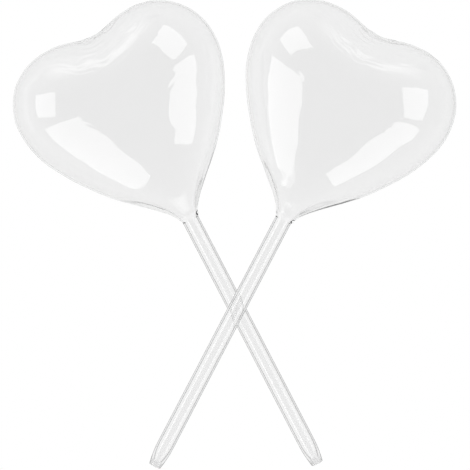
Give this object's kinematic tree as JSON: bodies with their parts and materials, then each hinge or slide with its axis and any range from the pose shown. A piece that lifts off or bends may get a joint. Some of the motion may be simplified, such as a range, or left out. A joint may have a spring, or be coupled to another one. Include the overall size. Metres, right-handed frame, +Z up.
{
  "type": "watering globe",
  "caption": "Crossed heart-shaped clear glass watering globes: hollow blown bulbs on tube stems drawn down to drip mouths, which water pot plants slowly.",
  "frame": {"origin": "middle of the pair's bounding box, on the flat surface that both globes lie on", "axes": "+Z up from the surface; +Y from the drip mouths towards the hearts, along the line between the crossed stems; +X across, from the rear globe's heart to the front globe's"},
  "size_m": [0.2076, 0.2198, 0.0546],
  "materials": {
    "bulb_glass": "clear blown borosilicate glass, flame polished",
    "bead_glass": "clear glass fused in the flame, slightly rippled",
    "stem_glass": "clear drawn borosilicate tubing"
  },
  "bodies": {
    "rear_globe": {"rear_heart_bulb": "bulb_glass", "rear_neck_bead": "bead_glass", "rear_stem_tube": "stem_glass"},
    "front_globe": {"front_heart_bulb": "bulb_glass", "front_neck_bead": "bead_glass", "front_stem_tube": "stem_glass"}
  },
  "joints": [
    {"name": "front_globe_lift", "type": "slide", "parent": "rear_globe", "child": "front_globe", "axis": [0, 0, 1], "range_m": [0, 0.08]}
  ]
}
